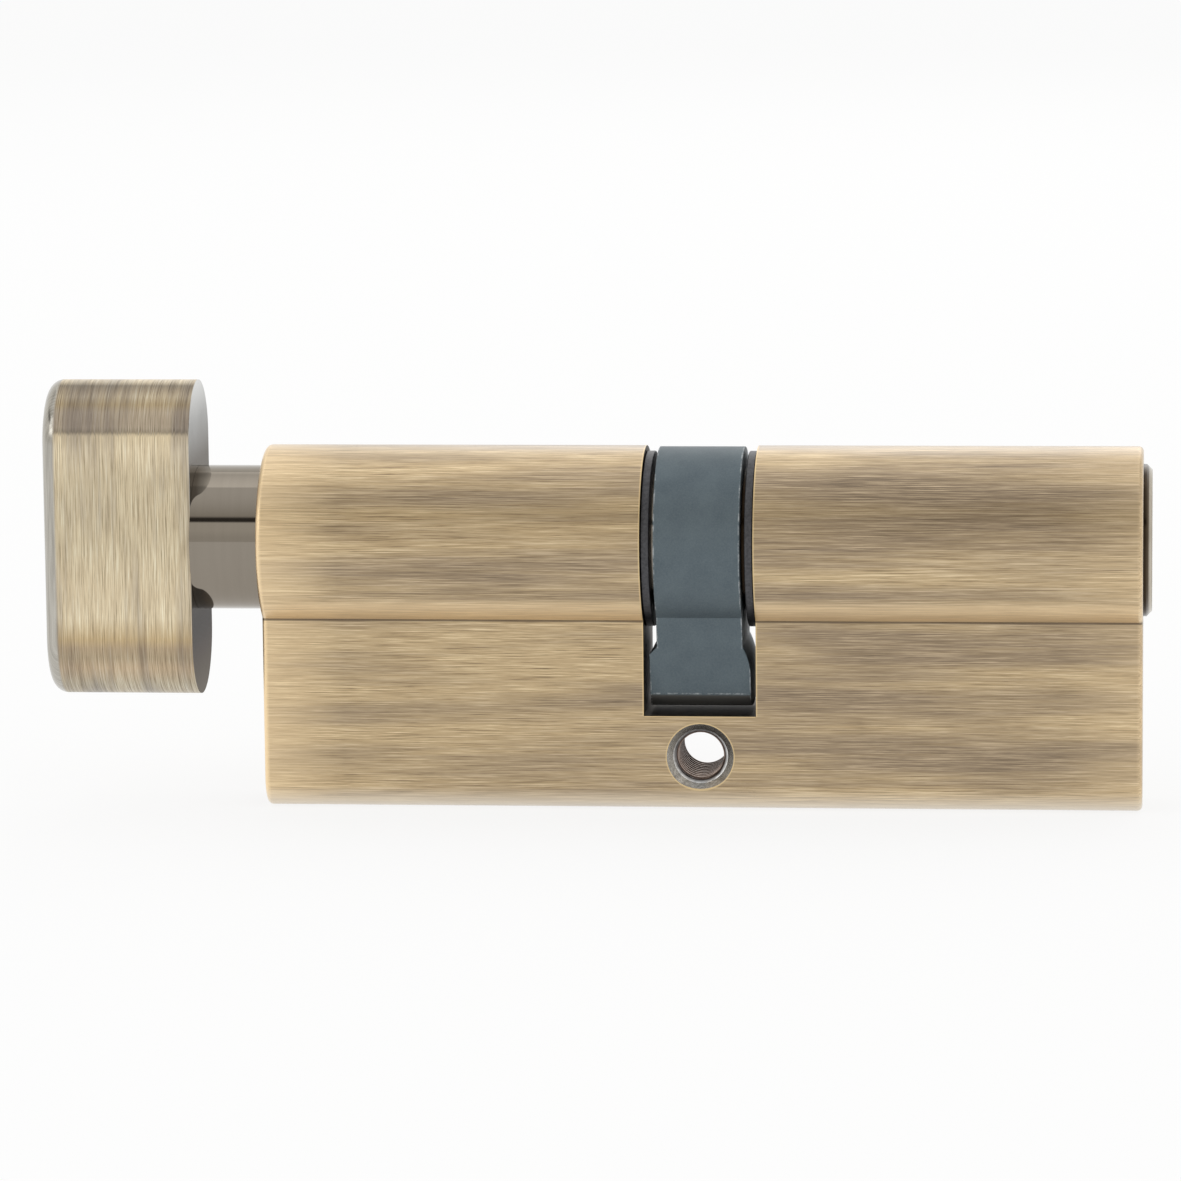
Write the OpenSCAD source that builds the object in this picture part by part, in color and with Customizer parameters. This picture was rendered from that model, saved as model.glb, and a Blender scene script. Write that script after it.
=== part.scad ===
// Thumb turn euro profile cylinder: keyed at one end, with a turning knob at the other.
// X runs along the barrel towards the key end, Z points up and the web hangs down.
// The origin is the middle of the fixing screw's hole, from which such cylinders are measured.

/* [Body] */
// Length from the fixing screw to the key end
key_half = 40; // [34:0.5:60]
// Length from the fixing screw to the turn end
turn_half = 40; // [26:0.5:60]
// Radius of the round part
barrel_r = 8.5; // [8.3:0.1:9]
// Thickness of the web under the round part
web_t = 10; // [9.6:0.1:11]
// Radius of the web's two bottom corners
web_corner_r = 3; // [1:0.1:3.3]
// Chamfer around both ends of the body
end_chamfer = 0.4; // [0.1:0.05:0.8]

/* [Fixing screw hole] */
// Metal between the cam slot's floor and the screw's hole
screw_wall = 1.65; // [1:0.05:3]
// Distance from the screw's axis to the bottom of the web
screw_to_bottom = 5.15; // [4:0.05:8]
// Core radius of the screw thread
screw_core_r = 2.1; // [1.6:0.05:2.4]
// Radius of the countersink at each face
countersink_r = 3.05; // [2.8:0.05:3.4]

/* [Cam slot] */
// Width of the slot
slot_w = 10.2; // [9:0.05:14]
// Gap between the lever's tip and the slot's floor
tip_gap = 0.4; // [0.2:0.05:1]
// Gap between the cam's hub and each retaining ring
hub_side_gap = 0.35; // [0.15:0.05:1]
// Gap between the lever's nose and each wall of the slot
nose_side_gap = 0.5; // [0.3:0.05:1.1]

/* [Cam] */
// Radius of the cam's hub
cam_r = 8.4; // [8.2:0.05:8.5]
// Radius that the lever's tip sweeps
cam_tip_r = 15.2; // [14:0.05:18]
// Thickness of the lever where it leaves the hub
lever_root_t = 10.6; // [9:0.1:11]
// Thickness of the lever at the top of its rounded tip
lever_nose_t = 7.8; // [6:0.1:8.4]
// Height of the bevel on the lever's tip
lever_bevel = 1.5; // [0.8:0.1:2]
// Depth of the lever's shoulders below the barrel's axis
shoulder_drop = 9.3; // [8.8:0.1:10]
// Height of the curved shoulder
shoulder_curve_h = 2.7; // [1.5:0.1:3.5]
// Thickness of the wall across the middle of the hub
cam_wall_t = 2.2; // [1.6:0.1:2.6]

/* [Retaining rings] */
// Outer radius of the rings
ring_r = 8; // [7.4:0.05:8.2]
// Thickness of the rings
ring_t = 0.75; // [0.6:0.05:0.8]
// Depth of the grooves that hold the rings
ring_groove_depth = 0.7; // [0.4:0.05:0.9]
// Width of the opening in each ring
ring_opening_w = 7; // [5:0.1:8]

/* [Key plug] */
// Radius of the plug
plug_r = 6.5; // [6.3:0.05:6.6]
// Radius of the plug's flange
flange_r = 6.9; // [6.8:0.05:7.2]
// Depth of the flange in the body
flange_seat = 1.2; // [0.6:0.1:2.5]
// How far the flange stands out of the body
flange_proud = 0.8; // [0.2:0.1:2]
// Chamfer of the flange's face
flange_chamfer = 0.5; // [0.2:0.05:0.7]
// Width of the keyway
keyway_w = 2.4; // [2:0.1:2.6]
// Height of the keyway
keyway_h = 8.8; // [8:0.1:9.2]
// Depth of the wards that stand into the keyway
ward_depth = 0.7; // [0.3:0.1:0.9]
// Height of each ward
ward_h = 1.2; // [0.8:0.1:1.6]
// Distance of each ward from the plug's axis
ward_offset = 0.8; // [0.3:0.1:1.5]

/* [Pins] */
// Distance of the first pin from the key end
first_pin = 7; // [6:0.1:8]
// Distance between the pins
pin_pitch = 4.4; // [3.6:0.1:4.6]
// Radius of the pins
pin_r = 1.45; // [1.3:0.05:1.5]
// Radius of the flat noses of the pins
pin_nose_r = 0.85; // [0.6:0.05:1]
// Height of the pins' blunted noses
pin_nose_h = 0.25; // [0.2:0.05:0.5]
// Height of the pin holes above the plug's axis
pin_hole_rise = 1.5; // [1:0.1:2]
// Length of the driver pins
driver_pin_len = 5.5; // [4:0.1:6.5]
// Thickness of the caps that close the pin chambers
cap_t = 1.6; // [1:0.1:2.5]
// Radius of the spring wire
spring_wire_r = 0.2; // [0.15:0.01:0.25]
// Turns of each pin spring
pin_spring_turns = 7; // [5:1:8]

/* [Turn spindle] */
// Radius of the stem between the body and the knob
stem_r = 6.6; // [6.4:0.05:7]
// Length of the stem outside the body
stem_len = 6.3; // [3:0.1:20]
// Depth of the stem's seat in the body
stem_seat = 2; // [1:0.1:4]
// Radius of the shaft inside the body
shaft_r = 6.2; // [6:0.05:6.3]
// Radius of the spindle's end inside the knob
tail_r = 3.5; // [2.5:0.05:3.8]
// Length of the spindle's end inside the knob
tail_len = 9.7; // [7:0.1:11]
// Depth of the flat for the grub screw
grub_flat_depth = 0.6; // [0.3:0.1:1]
// Length of the flat for the grub screw
grub_flat_len = 7; // [5:0.1:8]
// Radius of the spigots that carry the cam
spigot_r = 5; // [4.6:0.05:5.2]

/* [Drive dog] */
// Width of the dog's bar
dog_w = 4; // [3:0.1:4.4]
// Length of the dog's bar along the barrel
dog_len = 3.55; // [3.4:0.05:3.8]
// Travel of the dog when a key's tip pushes it
dog_travel = 2.2; // [2:0.05:2.3]
// Radius of the dog's pin
dog_pin_r = 1.5; // [1.2:0.05:1.7]
// Length of the dog's pin
dog_pin_len = 5.4; // [4:0.1:7]
// Length of the spring behind the dog
dog_spring_len = 5.9; // [5:0.1:8]
// Turns of the spring behind the dog
dog_spring_turns = 5; // [4:1:6]

/* [Knob] */
// Height of the knob
knob_h = 29; // [24:0.5:36]
// Thickness of the knob
knob_t = 11.2; // [10.4:0.1:13]
// Length of the knob along the barrel
knob_len = 13.7; // [12.5:0.1:18]
// Radius of the rounded outer edge
knob_edge_r = 1.3; // [0.5:0.1:2]
// Radius of the grub screw
grub_r = 2; // [1.5:0.1:2.4]
// Radius of the grub screw's hexagon socket
grub_socket_r = 1.1; // [0.7:0.1:1.2]
// Depth of the grub screw below the knob's face
grub_recess = 0.4; // [0:0.1:0.8]

/* [Fits] */
// Radial clearance of each turning fit
run_fit = 0.05; // [0.03:0.01:0.08]
// Gap at each seat and shoulder
seat_gap = 0.05; // [0.03:0.01:0.1]
// Gap between the cam's inner wall and each spigot
wall_gap = 0.2; // [0.1:0.05:0.4]
// Gap on each side of a sliding part
slide_gap = 0.05; // [0.03:0.01:0.1]

/* [Hidden] */
// Length of each key pin, from the key end inwards
KEY_PIN_LENGTHS = [5.2, 6.4, 5.8, 6.8, 5.0];
pin_count = len(KEY_PIN_LENGTHS);
$fn = 96;

// How far a cut runs past what it cuts
past = 1;
slot_drop = cam_tip_r + tip_gap;
screw_to_barrel = slot_drop + screw_wall + screw_core_r;
web_drop = screw_to_barrel + screw_to_bottom;
chamber_r = pin_r + slide_gap;
shear_r = plug_r + run_fit;
cap_top = cap_t - web_drop;
driver_top = -shear_r - slide_gap;
spring_r = pin_r - slide_gap;
collar_x = slot_w / 2 - ring_t - seat_gap;
cam_w = 2 * (collar_x - seat_gap - hub_side_gap);
lever_w = slot_w - 2 * nose_side_gap;
collar_end_x = cam_w / 2 + seat_gap;
spigot_end_x = cam_wall_t / 2 + wall_gap;
dog_front_x = cam_wall_t / 2 - wall_gap;
dog_back_x = dog_front_x - dog_len;
dog_end_r = spigot_r - 2 * slide_gap;
dog_pocket_x = dog_back_x - dog_travel - 2 * slide_gap;
dog_pin_end_x = dog_back_x - dog_pin_len;
dog_spring_end_x = dog_pin_end_x - seat_gap - dog_spring_len;
knob_face_x = -turn_half - stem_len;
knob_end_r = knob_t / 2;
grub_x = knob_face_x - knob_len / 2;
grub_flat_y = tail_r - grub_flat_depth;

// Moves what is drawn upwards to run along the barrel's axis from x
module from_x(x) {
    translate([x, 0, screw_to_barrel]) rotate([0, 90, 0]) children();
}

// Extrudes a cross-section, drawn across and up from the barrel's axis, along X
module section_along_x(x, length) {
    translate([x, 0, screw_to_barrel]) rotate([90, 0, 90]) linear_extrude(length) children();
}

// Round bar with a chamfer at both ends
module chamfered_rod(r, length, chamfer) {
    rotate_extrude() polygon([
        [0, 0], [r - chamfer, 0], [r, chamfer],
        [r, length - chamfer], [r - chamfer, length], [0, length]
    ]);
}

// Rectangle with its four corners cut off
module chamfered_square(x0, x1, y0, y1, chamfer) {
    polygon([
        [x0 + chamfer, y0], [x1 - chamfer, y0], [x1, y0 + chamfer], [x1, y1 - chamfer],
        [x1 - chamfer, y1], [x0 + chamfer, y1], [x0, y1 - chamfer], [x0, y0 + chamfer]
    ]);
}

// Web's cross-section, with rounded bottom corners
module web_section() {
    translate([-web_t / 2, web_corner_r - web_drop]) square([web_t, web_drop - web_corner_r]);
    translate([web_corner_r - web_t / 2, -web_drop]) square([web_t - 2 * web_corner_r, web_drop]);
    for (side = [-1, 1])
        translate([side * (web_t / 2 - web_corner_r), web_corner_r - web_drop]) circle(web_corner_r);
}

// Web as a block whose end edges are chamfered
module web_block() {
    intersection() {
        section_along_x(-turn_half, turn_half + key_half) web_section();
        translate([0, 0, screw_to_barrel - web_drop - past])
            linear_extrude(web_drop + 2 * past)
                chamfered_square(-turn_half, key_half, -web_t / 2, web_t / 2, end_chamfer);
        translate([0, web_t / 2 + past, screw_to_barrel]) rotate([90, 0, 0])
            linear_extrude(web_t + 2 * past)
                chamfered_square(-turn_half, key_half, -web_drop, barrel_r, end_chamfer);
    }
}

// Hole for the fixing screw, countersunk at both faces
module fixing_hole() {
    sink = countersink_r - screw_core_r;
    rotate([90, 0, 0]) cylinder(r = screw_core_r, h = web_t + 2 * past, center = true);
    for (side = [-1, 1])
        translate([0, side * (web_t / 2 - sink), 0]) rotate([-90 * side, 0, 0])
            cylinder(r1 = screw_core_r, r2 = countersink_r + past, h = sink + past);
}

// Place of each pin along the barrel
function pin_x(i) = key_half - first_pin - (i - 1) * pin_pitch;

module housing() {
    color("#A78A5B")
    difference() {
        union() {
            from_x(-turn_half) chamfered_rod(barrel_r, turn_half + key_half, end_chamfer);
            web_block();
        }
        from_x(0) cylinder(r = plug_r + run_fit, h = key_half + past);
        from_x(key_half - flange_seat - seat_gap)
            cylinder(r = flange_r + run_fit, h = flange_seat + seat_gap + past);
        from_x(-turn_half - past) cylinder(r = shaft_r + run_fit, h = turn_half + past);
        from_x(-turn_half - past) cylinder(r = stem_r + run_fit, h = stem_seat + seat_gap + past);
        translate([-slot_w / 2, -barrel_r - past, screw_to_barrel - slot_drop])
            cube([slot_w, 2 * (barrel_r + past), slot_drop + barrel_r + past]);
        for (i = [1 : pin_count])
            translate([pin_x(i), 0, screw_to_barrel - web_drop - past])
                cylinder(r = chamber_r, h = web_drop + past);
        fixing_hole();
    }
}

// Lever seen along the barrel: its flanks taper to a bevelled tip that is rounded to the sweep
module lever_side() {
    root_drop = sqrt(cam_r * cam_r - lever_root_t * lever_root_t / 4);
    nose_drop = cam_tip_r - lever_bevel;
    intersection() {
        circle(cam_tip_r);
        polygon([
            [-lever_root_t / 2, -root_drop], [-lever_nose_t / 2, -nose_drop],
            [lever_bevel - lever_nose_t / 2, -cam_tip_r], [lever_nose_t / 2 - lever_bevel, -cam_tip_r],
            [lever_nose_t / 2, -nose_drop], [lever_root_t / 2, -root_drop]
        ]);
    }
}

// Lever seen from the front: a neck as wide as the hub, one bevelled and one curved shoulder
module lever_front() {
    over = (lever_w - cam_w) / 2;
    curve_r = (over * over + shoulder_curve_h * shoulder_curve_h) / (2 * over);
    curve_turn = asin(shoulder_curve_h / curve_r);
    steps = 8;
    polygon(concat(
        [[-lever_w / 2, -cam_tip_r - past], [-lever_w / 2, -shoulder_drop - over]],
        [[-cam_w / 2, -shoulder_drop], [-cam_w / 2, 0], [cam_w / 2, 0]],
        [for (i = [steps : -1 : 0]) let (a = curve_turn * i / steps)
            [lever_w / 2 - curve_r * (1 - cos(a)), -shoulder_drop - shoulder_curve_h + curve_r * sin(a)]],
        [[lever_w / 2, -cam_tip_r - past]]
    ));
}

// Opening across the hub's wall for the dog's bar
module dog_section(gap) {
    intersection() {
        circle(dog_end_r + gap);
        square([dog_w + 2 * gap, 4 * spigot_r], center = true);
    }
}

module cam() {
    color("#55626A")
    difference() {
        union() {
            from_x(-cam_w / 2) cylinder(r = cam_r, h = cam_w);
            intersection() {
                section_along_x(-lever_w, 2 * lever_w) lever_side();
                translate([0, cam_r, screw_to_barrel]) rotate([90, 0, 0])
                    linear_extrude(2 * cam_r) lever_front();
            }
        }
        from_x(-cam_w / 2 - past) cylinder(r = spigot_r + run_fit, h = cam_w / 2 - cam_wall_t / 2 + past);
        from_x(cam_wall_t / 2) cylinder(r = spigot_r + run_fit, h = cam_w / 2 - cam_wall_t / 2 + past);
        section_along_x(-cam_wall_t, 2 * cam_wall_t) dog_section(slide_gap);
    }
}

module drive_dog() {
    color("#A9A69C") {
        section_along_x(dog_back_x, dog_len) dog_section(0);
        from_x(dog_pin_end_x) cylinder(r = dog_pin_r, h = dog_pin_len);
    }
}

// Coil spring standing on z = 0: the wire's rings follow a helix with flat-wound ends
module coil_spring(outer_r, length, turns) {
    sides = 5;
    per_turn = 10;
    count = turns * per_turn;
    coil_r = outer_r - spring_wire_r;
    rise = length - 2 * spring_wire_r;
    points = [for (k = [0 : count]) for (s = [0 : sides - 1])
        let (turn = 360 * k / per_turn, around = 360 * s / sides, r = coil_r + spring_wire_r * cos(around))
        [r * cos(turn), r * sin(turn), spring_wire_r + rise * k / count + spring_wire_r * sin(around)]];
    skin = [for (k = [0 : count - 1]) for (s = [0 : sides - 1])
        let (a = k * sides + s, b = k * sides + (s + 1) % sides)
        each [[a, b, b + sides], [a, b + sides, a + sides]]];
    start_cap = [[for (s = [sides - 1 : -1 : 0]) s]];
    end_cap = [[for (s = [0 : sides - 1]) count * sides + s]];
    polyhedron(points, concat(skin, start_cap, end_cap));
}

module dog_spring() {
    color("#B9BCBE")
    from_x(dog_spring_end_x) coil_spring(dog_pin_r - slide_gap, dog_spring_len, dog_spring_turns);
}

// Open ring that snaps into the groove of a plug or shaft; the opening faces the back
module retaining_ring(x, shaft) {
    from_x(x) linear_extrude(ring_t) difference() {
        circle(ring_r);
        circle(shaft - ring_groove_depth + slide_gap);
        translate([0, ring_r]) square([ring_opening_w, 2 * ring_r], center = true);
    }
}

module turn_spindle() {
    color("#6E675D")
    difference() {
        union() {
            from_x(knob_face_x - tail_len) cylinder(r = tail_r, h = tail_len + past);
            from_x(knob_face_x) cylinder(r = stem_r, h = stem_len + stem_seat);
            from_x(-turn_half) cylinder(r = shaft_r, h = turn_half - slot_w / 2);
            from_x(-slot_w / 2) cylinder(r = shaft_r - ring_groove_depth, h = slot_w / 2 - collar_end_x);
            from_x(-collar_x) cylinder(r = shaft_r, h = collar_x - collar_end_x);
            from_x(-collar_end_x) cylinder(r = spigot_r, h = collar_end_x - spigot_end_x);
        }
        section_along_x(dog_pocket_x, -dog_pocket_x) dog_section(slide_gap);
        from_x(dog_spring_end_x - seat_gap) cylinder(r = dog_pin_r + slide_gap, h = -dog_spring_end_x);
        translate([grub_x - grub_flat_len / 2, grub_flat_y, screw_to_barrel - tail_r])
            cube([grub_flat_len, tail_r, 2 * tail_r]);
    }
}

module turn_retaining_ring() {
    color("#4A4A4C")
    retaining_ring(-slot_w / 2 + seat_gap, shaft_r);
}

// Knob seen along X as a bar with round ends; its outer edge is rounded, its inner face flat
module knob() {
    outer_x = knob_face_x - knob_len;
    ends_z = knob_h / 2 - knob_end_r;
    color("#9C8E76")
    difference() {
        union() {
            for (side = [-1, 1])
                translate([0, 0, side * ends_z]) from_x(outer_x) rotate_extrude() {
                    square([knob_end_r - knob_edge_r, knob_len]);
                    translate([0, knob_edge_r]) square([knob_end_r, knob_len - knob_edge_r]);
                    translate([knob_end_r - knob_edge_r, knob_edge_r]) intersection() {
                        circle(knob_edge_r);
                        translate([0, -knob_edge_r]) square(knob_edge_r);
                    }
                }
            translate([0, 0, screw_to_barrel - ends_z]) linear_extrude(2 * ends_z) {
                translate([outer_x + knob_edge_r, -knob_end_r])
                    square([knob_len - knob_edge_r, knob_t]);
                translate([outer_x, knob_edge_r - knob_end_r])
                    square([knob_len, knob_t - 2 * knob_edge_r]);
                for (side = [-1, 1])
                    translate([outer_x + knob_edge_r, side * (knob_end_r - knob_edge_r)])
                        circle(knob_edge_r);
            }
        }
        from_x(knob_face_x - tail_len - seat_gap)
            cylinder(r = tail_r + slide_gap, h = tail_len + seat_gap + past);
        translate([grub_x, 0, screw_to_barrel]) rotate([-90, 0, 0])
            cylinder(r = grub_r + slide_gap, h = knob_t);
    }
}

// Socket grub screw that bears on the spindle's flat, from the knob's back
module knob_grub_screw() {
    length = knob_end_r - grub_flat_y - grub_recess;
    color("#3E3F41")
    translate([grub_x, grub_flat_y, screw_to_barrel]) rotate([-90, 0, 0]) difference() {
        cylinder(r = grub_r, h = length);
        translate([0, 0, length / 2]) cylinder(r = grub_socket_r, h = length, $fn = 6);
    }
}

// Keyway's cross-section: a tall slot with a ward standing in from each side
module keyway_section() {
    difference() {
        square([keyway_w, keyway_h], center = true);
        translate([keyway_w / 2 - ward_depth, ward_offset]) square([keyway_w, ward_h]);
        translate([ward_depth - 1.5 * keyway_w, -ward_offset - ward_h]) square([keyway_w, ward_h]);
    }
}

module key_plug() {
    face_x = key_half + flange_proud;
    color("#8A8578")
    difference() {
        union() {
            from_x(key_half - flange_seat) cylinder(r = flange_r, h = flange_seat + flange_proud - flange_chamfer);
            from_x(face_x - flange_chamfer)
                cylinder(r1 = flange_r, r2 = flange_r - flange_chamfer, h = flange_chamfer);
            from_x(slot_w / 2) cylinder(r = plug_r, h = key_half - slot_w / 2);
            from_x(collar_end_x) cylinder(r = plug_r - ring_groove_depth, h = slot_w / 2 - collar_end_x);
            from_x(collar_end_x) cylinder(r = plug_r, h = collar_x - collar_end_x);
            from_x(spigot_end_x) cylinder(r = spigot_r, h = collar_end_x - spigot_end_x);
        }
        section_along_x(0, face_x + past) keyway_section();
        for (i = [1 : pin_count])
            translate([pin_x(i), 0, screw_to_barrel - plug_r - past])
                cylinder(r = chamber_r, h = plug_r + past + pin_hole_rise);
    }
}

module key_retaining_ring() {
    color("#4A4A4C")
    retaining_ring(slot_w / 2 - seat_gap - ring_t, plug_r);
}

// Key pin standing on the shear line, with a small nose at the foot and a cone at the top
module key_pin(i) {
    length = KEY_PIN_LENGTHS[i - 1];
    foot = slide_gap - plug_r;
    cone_h = pin_r - pin_nose_r;
    color("#C9A557")
    translate([pin_x(i), 0, screw_to_barrel + foot]) {
        cylinder(r1 = pin_nose_r, r2 = pin_r, h = pin_nose_h);
        translate([0, 0, pin_nose_h]) cylinder(r = pin_r, h = length - pin_nose_h - cone_h);
        translate([0, 0, length - cone_h]) cylinder(r1 = pin_r, r2 = pin_nose_r, h = cone_h);
    }
}

module driver_pin(i) {
    color("#C3C3BE")
    translate([pin_x(i), 0, screw_to_barrel + driver_top - driver_pin_len]) {
        cylinder(r = pin_r, h = driver_pin_len - pin_nose_h);
        translate([0, 0, driver_pin_len - pin_nose_h])
            cylinder(r1 = pin_r, r2 = pin_nose_r, h = pin_nose_h);
    }
}

module pin_spring(i) {
    length = driver_top - driver_pin_len - cap_top;
    color("#B9BCBE")
    translate([pin_x(i), 0, screw_to_barrel + cap_top])
        coil_spring(spring_r, length, pin_spring_turns);
}

// Cap that closes a chamber, flush with the bottom of the web
module chamber_cap(i) {
    color("#A78A5B")
    translate([pin_x(i), 0, screw_to_barrel - web_drop]) cylinder(r = chamber_r, h = cap_t);
}

housing();
cam();
drive_dog();
dog_spring();
turn_spindle();
turn_retaining_ring();
knob();
knob_grub_screw();
key_plug();
key_retaining_ring();
for (i = [1 : pin_count]) {
    key_pin(i);
    driver_pin(i);
    pin_spring(i);
    chamber_cap(i);
}
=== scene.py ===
"""Thumb turn euro cylinder: its finishes and fine shapes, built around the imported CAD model."""
import math

import bmesh
import bpy
import numpy as np
from mathutils import Euler, Matrix, Vector


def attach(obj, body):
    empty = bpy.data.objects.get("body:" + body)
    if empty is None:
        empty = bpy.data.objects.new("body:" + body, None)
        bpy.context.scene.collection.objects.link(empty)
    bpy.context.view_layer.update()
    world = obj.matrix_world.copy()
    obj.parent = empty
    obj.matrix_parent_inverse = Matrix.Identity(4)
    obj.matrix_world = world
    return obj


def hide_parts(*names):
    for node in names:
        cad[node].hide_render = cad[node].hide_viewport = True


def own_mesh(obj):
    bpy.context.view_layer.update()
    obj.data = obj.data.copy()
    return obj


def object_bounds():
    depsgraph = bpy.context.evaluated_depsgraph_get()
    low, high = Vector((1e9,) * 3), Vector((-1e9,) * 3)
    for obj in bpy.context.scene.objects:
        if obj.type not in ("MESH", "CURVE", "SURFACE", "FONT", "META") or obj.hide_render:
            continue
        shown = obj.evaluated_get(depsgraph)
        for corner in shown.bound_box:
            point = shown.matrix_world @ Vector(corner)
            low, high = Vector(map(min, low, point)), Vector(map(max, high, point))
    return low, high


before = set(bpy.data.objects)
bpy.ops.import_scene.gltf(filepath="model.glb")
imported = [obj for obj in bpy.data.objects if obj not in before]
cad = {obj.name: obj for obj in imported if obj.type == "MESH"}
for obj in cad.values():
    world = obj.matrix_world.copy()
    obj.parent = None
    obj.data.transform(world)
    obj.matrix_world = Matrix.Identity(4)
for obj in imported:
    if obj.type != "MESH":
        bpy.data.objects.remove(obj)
cad_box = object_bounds()
scene = bpy.context.scene
scene.view_settings.view_transform = "Standard"

# The camera looks from 9 degrees above the barrel and a little to the right of the fixing screw.
# A camera fitted to the body's outline in the photograph gave its place, its turn and its lens.
photo_width = 1181
focal_pixels = 6000
film_mm = 36
camera_place = (0.042324, -0.539938, 0.096967)
look_down = math.radians(8.6437)
look_left = math.radians(5.5713)
lean = math.radians(-0.5773)
camera_data = bpy.data.cameras.new("photo_camera")
camera_data.sensor_width = film_mm
camera_data.lens = film_mm * focal_pixels / photo_width
camera_data.clip_start = 0.01
camera_data.clip_end = 50
camera = bpy.data.objects.new("photo_camera", camera_data)
scene.collection.objects.link(camera)
camera.matrix_world = (
    Matrix.Translation(camera_place)
    @ Euler((math.radians(90) - look_down, 0, look_left)).to_matrix().to_4x4()
    @ Matrix.Rotation(lean, 4, "Z")
)
scene.camera = camera


# The floor is seamless pale studio paper, on which the cylinder stands on its web.
# It shows as white, as the photograph's cut-out background does, and keeps the object's soft shadow.
def linear(hex_colour):
    """Turns an sRGB hex colour into linear red, green and blue by the sRGB curve, with an alpha of 1."""
    parts = [int(hex_colour[i : i + 2], 16) / 255 for i in (1, 3, 5)]
    return [c / 12.92 if c <= 0.04045 else ((c + 0.055) / 1.055) ** 2.4 for c in parts] + [1]


def add(tree, kind, inputs=None, stops=None, **settings):
    """Adds one node: settings are its properties, inputs its numbers or what feeds it, stops a ramp's."""
    made = tree.nodes.new(kind)
    for name, value in settings.items():
        setattr(made, name, value)
    for place, colour in stops or ():
        made.color_ramp.elements.new(place).color = linear(colour)
    if stops:
        made.color_ramp.elements.remove(made.color_ramp.elements[0])
        made.color_ramp.elements.remove(made.color_ramp.elements[-1])
    for name, value in (inputs or {}).items():
        if isinstance(value, bpy.types.Node):
            value = next(out for out in value.outputs if out.enabled)
        if isinstance(value, bpy.types.NodeSocket):
            tree.links.new(value, made.inputs[name])
        else:
            made.inputs[name].default_value = value
    return made


def new_tree(owner):
    """Gives a material or the world an empty node tree."""
    owner.use_nodes = True
    owner.node_tree.nodes.clear()
    return owner.node_tree


def seen_ray(tree):
    """1 for rays that show a thing: straight from the camera, in a reflection or through glass."""
    path = add(tree, "ShaderNodeLightPath").outputs
    shown = path["Is Camera Ray"]
    for name in ("Is Glossy Ray", "Is Transmission Ray"):
        shown = add(tree, "ShaderNodeMath", {0: shown, 1: path[name]}, operation="MAXIMUM")
    return shown


floor_reach = 6.0
floor_gap = 0.00002
floor_z = cad_box[0][2] - floor_gap
share_of_white = 0.82
floor_mesh = bpy.data.meshes.new("studio_floor")
floor_mesh.from_pydata(
    [(x * floor_reach, y * floor_reach, floor_z) for x, y in ((-1, -1), (1, -1), (1, 1), (-1, 1))],
    [],
    [(0, 1, 2, 3)],
)
floor = bpy.data.objects.new("studio_floor", floor_mesh)
scene.collection.objects.link(floor)
paper = bpy.data.materials.new("studio_paper")
tree = new_tree(paper)
matt = add(tree, "ShaderNodeBsdfDiffuse", {"Color": linear("#FBFBFA")})
glow = add(tree, "ShaderNodeEmission", {"Color": linear("#FFFFFF"), "Strength": 1.0})
veil = add(tree, "ShaderNodeMath", {0: seen_ray(tree), 1: share_of_white}, operation="MULTIPLY")
paper_look = add(tree, "ShaderNodeMixShader", {0: veil, 1: matt, 2: glow})
add(tree, "ShaderNodeOutputMaterial", {"Surface": paper_look})
floor_mesh.materials.append(paper)

# The room gives plain soft light from everywhere, and four soft boxes give it a direction. In polished
# metal it shows a pale wall and, in front only, a dark gap between that wall and the ceiling, which draws
# the dark line along the stem.
world = bpy.data.worlds.new("studio_room")
scene.world = world
tree = new_tree(world)
way = add(tree, "ShaderNodeTexCoord").outputs["Generated"]
upwards = add(tree, "ShaderNodeSeparateXYZ", {0: way}).outputs["Z"]
forwards = add(tree, "ShaderNodeSeparateXYZ", {0: way}).outputs["Y"]
front_wall = add(
    tree,
    "ShaderNodeValToRGB",
    {0: upwards},
    stops=[
        (0.00, "#E4E2DE"),
        (0.12, "#E4E2DE"),
        (0.30, "#F2F0EC"),
        (0.49, "#F2F0EC"),
        (0.53, "#4A4744"),
        (0.60, "#4A4744"),
        (0.65, "#D0CDC8"),
        (0.72, "#DAD8D4"),
        (1.00, "#D2D0CC"),
    ],
)
back_wall = add(
    tree,
    "ShaderNodeValToRGB",
    {0: upwards},
    stops=[(0.15, "#FFFFFF"), (0.65, "#F2F0EC"), (0.80, "#C8C6C2"), (1.00, "#B6B4B0")],
)
behind = add(tree, "ShaderNodeMapRange", {0: forwards, 1: -0.1, 2: 0.3})
wall = add(tree, "ShaderNodeMix", {0: behind, 6: front_wall, 7: back_wall}, data_type="RGBA")
soft = add(tree, "ShaderNodeBackground", {"Color": linear("#FFFFFF"), "Strength": 0.8})
shown = add(tree, "ShaderNodeBackground", {"Color": wall, "Strength": 1.0})
room = add(tree, "ShaderNodeMixShader", {0: seen_ray(tree), 1: soft, 2: shown})
add(tree, "ShaderNodeOutputWorld", {"Surface": room})
middle = Vector((0, 0, 0.01))
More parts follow.
